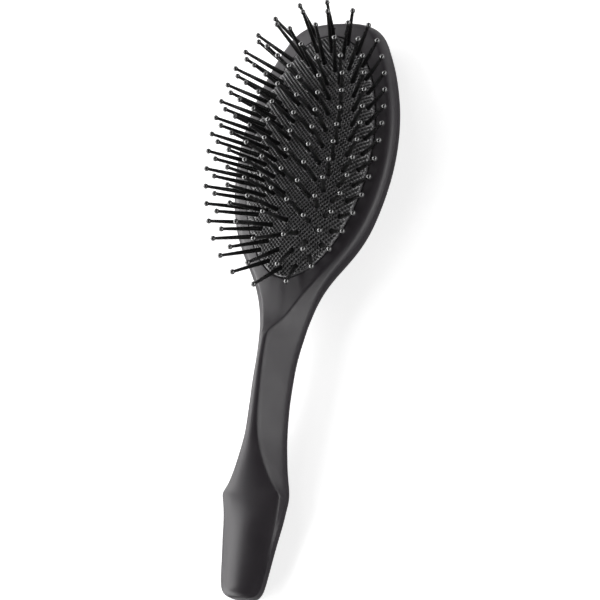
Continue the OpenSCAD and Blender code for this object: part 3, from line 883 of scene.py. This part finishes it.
def turned_pins(feet, axes):
    """Every pin at once: the profile turned about each axis; poles are single points. The last
    result is 1 at the points of the ball."""
    profile = pin_profile()
    side = np.cross(axes, [0.31, 0.95, 0.05])
    side /= np.linalg.norm(side, axis=1)[:, None]
    front_way = np.cross(axes, side)
    t = 2 * np.pi * np.arange(PIN_SIDES) / PIN_SIDES
    around = (side[:, None] * np.cos(t)[None, :, None]
              + front_way[:, None] * np.sin(t)[None, :, None])
    body = profile[1:-1]
    rings = (feet[:, None, None] + axes[:, None, None] * body[None, :, None, 1:]
             + around[:, None] * body[None, :, None, :1])
    poles = feet[:, None] + axes[:, None] * profile[[0, -1], 1][None, :, None]
    n, k = len(feet), len(body)
    points = np.concatenate([rings.reshape(n, -1, 3), poles], 1)
    i = np.arange(PIN_SIDES)
    j = (i + 1) % PIN_SIDES
    quads = np.concatenate([np.stack([i, j, j + PIN_SIDES, i + PIN_SIDES], 1) + r * PIN_SIDES
                            for r in range(k - 1)])
    last = (k - 1) * PIN_SIDES
    bottom = np.stack([j, i, 0 * i + k * PIN_SIDES], 1)
    top = np.stack([i + last, j + last, 0 * i + k * PIN_SIDES + 1], 1)
    faces = []
    for p in range(n):
        base = p * points.shape[1]
        faces += (quads + base).tolist() + (bottom + base).tolist() + (top + base).tolist()
    at_tip = np.repeat(body[:, 1] > PIN_L - BALL_D / 2, PIN_SIDES)
    at_tip = np.concatenate([at_tip, [False, True]])
    return points.reshape(-1, 3), faces, np.tile(at_tip, n).astype(float)


pin_pieces = {}
for r, (feet, axes, zones) in enumerate(RINGS):
    for z in range(ZONES[r]):
        node = f"pins_{RING_NAMES[r]}_{z + 1}"
        chosen = zones == z
        points, faces, ball = turned_pins(feet[chosen], axes[chosen])
        piece = add_piece(node + "_turned", points, faces, 50)
        piece.data.attributes.new("ball", "FLOAT", "POINT").data.foreach_set("value", ball)
        pin_pieces[node] = piece
print("pin groups:", len(pin_pieces))

# %% [markdown]
# ## Finishes
# Four finishes. The body is plastic with a thin soft-touch coat: nearly black, with a wide dull
# shine. The cushion is bare rubber, whose raised threads are rubbed smoother than its pits, and
# its pits are darkened to near black as painted shade. The pins are dull nylon with polished
# balls, which make the bright dots all over the head. The parts inside are plain moulded plastic.
# Painted pictures could do this too, but noise over the object's own coordinates needs no
# unwrapping and stays sharp close up. The finishes share two groups of nodes, one for fine
# moulded grain and one for slow changes of tone.

# %% Shared node groups
def new_group(name, inputs, outputs):
    """A shader group with named float inputs (name: value) and named outputs (name: kind)."""
    tree = bpy.data.node_groups.new(name, "ShaderNodeTree")
    for label, value in inputs.items():
        socket = tree.interface.new_socket(label, in_out="INPUT", socket_type="NodeSocketFloat")
        socket.default_value = value
    for label, kind in outputs.items():
        tree.interface.new_socket(label, in_out="OUTPUT", socket_type=kind)
    return tree, Shade(tree)


def grain_group():
    """Fine random grain: two sizes of noise, `Size` in millimetres, as a height from 0 to 1."""
    tree, s = new_group("moulded_grain", {"Size": 0.3, "Coarse": 0.35},
                        {"Height": "NodeSocketFloat"})
    start = s.node("NodeGroupInput")
    where = s.node("ShaderNodeTexCoord").outputs["Object"]
    scale = s.math("DIVIDE", 1 / MM, start.outputs["Size"])
    fine = s.node("ShaderNodeTexNoise", {"Vector": where, "Scale": scale, "Detail": 2.0})
    wide = s.node("ShaderNodeTexNoise", {"Vector": where, "Scale": s.math("MULTIPLY", scale, 0.22)})
    coarse = s.math("MULTIPLY", wide.outputs["Fac"], start.outputs["Coarse"])
    s.node("NodeGroupOutput", {"Height": s.math("ADD", fine.outputs["Fac"], coarse)})
    return tree


def tone_group():
    """Slow changes of tone over the surface: smudges a few millimetres wide, from 0 to 1."""
    tree, s = new_group("slow_tone", {"Size": 12.0, "Contrast": 0.5}, {"Tone": "NodeSocketFloat"})
    start = s.node("NodeGroupInput")
    where = s.node("ShaderNodeTexCoord").outputs["Object"]
    scale = s.math("DIVIDE", 1 / MM, start.outputs["Size"])
    cloud = s.node("ShaderNodeTexNoise", {"Vector": where, "Scale": scale, "Detail": 4.0,
                                          "Roughness": 0.62, "Distortion": 0.4})
    centred = s.math("SUBTRACT", cloud.outputs["Fac"], 0.5)
    stretched = s.math("MULTIPLY", centred, start.outputs["Contrast"])
    s.node("NodeGroupOutput", {"Tone": s.math("ADD", 0.5, stretched)})
    return tree


GRAIN, TONE = grain_group(), tone_group()
print("node groups:", GRAIN.name, TONE.name)


def placed(s, tree, **values):
    """One use of a shared group, with its own values."""
    used = s.node("ShaderNodeGroup", node_tree=tree)
    for label, value in values.items():
        used.inputs[label].default_value = value
    return used.outputs[0]


# %% Materials
def finish(name, dark, light, rough, grain_size, grain_depth, tone_size, **fixed):
    """A Principled surface: colour and roughness follow the slow tone, and grain gives the bump."""
    material = bpy.data.materials.new(name)
    material.use_nodes = True
    material.node_tree.nodes.clear()
    s = Shade(material.node_tree)
    tone = placed(s, TONE, Size=tone_size, Contrast=1.4)
    bump = s.node("ShaderNodeBump", {"Height": placed(s, GRAIN, Size=grain_size),
                                     "Strength": 1.0, "Distance": grain_depth * MM})
    shader = s.node("ShaderNodeBsdfPrincipled", {
        "Base Color": s.blend(tone, dark, light), "Normal": bump.outputs[0],
        "Roughness": s.span(tone, 0.2, 0.8, rough[0], rough[1]), **fixed})
    s.node("ShaderNodeOutputMaterial", {"Surface": shader.outputs[0]})
    return material


def net_rubber():
    """The cushion's rubber: threads rubbed smoother than the dull pits, which get painted shade."""
    material = finish("net_rubber", (0.052, 0.05, 0.053, 1), (0.074, 0.071, 0.075, 1),
                      (0.24, 0.34), 0.22, 0.004, 9, **{"Specular IOR Level": 1.0})
    s = Shade(material.node_tree)
    shader = next(n for n in s.tree.nodes if n.type == "BSDF_PRINCIPLED")
    pit = s.node("ShaderNodeAttribute", attribute_name="pit").outputs["Fac"]
    colour = shader.inputs["Base Color"].links[0].from_socket
    rough = shader.inputs["Roughness"].links[0].from_socket
    # Painted shade: deep in the pits the rubber's colour is darkened to near black.
    dark = s.blend(s.span(pit, 0.1, 0.75), colour, grey(0.002))
    s.tree.links.new(dark, shader.inputs["Base Color"])
    dull = s.math("MAXIMUM", rough, s.span(pit, 0.05, 0.9, 0.0, 0.95))
    s.tree.links.new(dull, shader.inputs["Roughness"])
    return material


def ball_tipped_nylon():
    """The pins' nylon: dull along the shaft, and polished on the ball that meets the scalp."""
    material = finish("pin_nylon", grey(0.006), grey(0.009), (0.24, 0.34), 0.5, 0.0015, 6,
                      **{"Specular IOR Level": 0.3, "Coat Roughness": 0.08, "Coat IOR": 2.2})
    s = Shade(material.node_tree)
    shader = next(n for n in s.tree.nodes if n.type == "BSDF_PRINCIPLED")
    ball = s.node("ShaderNodeAttribute", attribute_name="ball").outputs["Fac"]
    s.tree.links.new(s.span(ball, 0.3, 0.9), shader.inputs["Coat Weight"])
    return material


SOFT_TOUCH = finish("soft_touch_plastic", (0.0255, 0.022, 0.026, 1), (0.033, 0.0285, 0.0335, 1),
                    (0.36, 0.44), 0.28, 0.004, 14, **{"Specular IOR Level": 0.5})
RUBBER_FINISH = net_rubber()
NYLON = ball_tipped_nylon()
INNER = finish("inner_plastic", grey(0.10), grey(0.14), (0.45, 0.6),
               0.4, 0.006, 20, **{"Specular IOR Level": 0.45})
print("finishes:", SOFT_TOUCH.name, RUBBER_FINISH.name, NYLON.name, INNER.name)

# %% Place pieces on their bodies
def dress(piece, material, body, slot, *nodes):
    """Gives a piece its material and its body, and hides the solids that it stands for. The slot is
    not used.
    """
    piece.data.materials.clear()
    piece.data.materials.append(material)
    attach(piece, body)
    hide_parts(*nodes)


dress(front, SOFT_TOUCH, "brush", "body_plastic", "front_frame")
dress(back, SOFT_TOUCH, "brush", "body_plastic", "back_shell")
dress(cushion, RUBBER_FINISH, "brush", "cushion_rubber", "cushion")
for node, piece in pin_pieces.items():
    dress(piece, NYLON, node, "pin_nylon", node)
for node in ("pad_plate", "clamp_ring"):
    mesh = frame["nodes"][node].data
    mesh.materials.clear()
    mesh.materials.append(INNER)
print("dressed:", 3 + len(pin_pieces), "pieces and 2 solids")
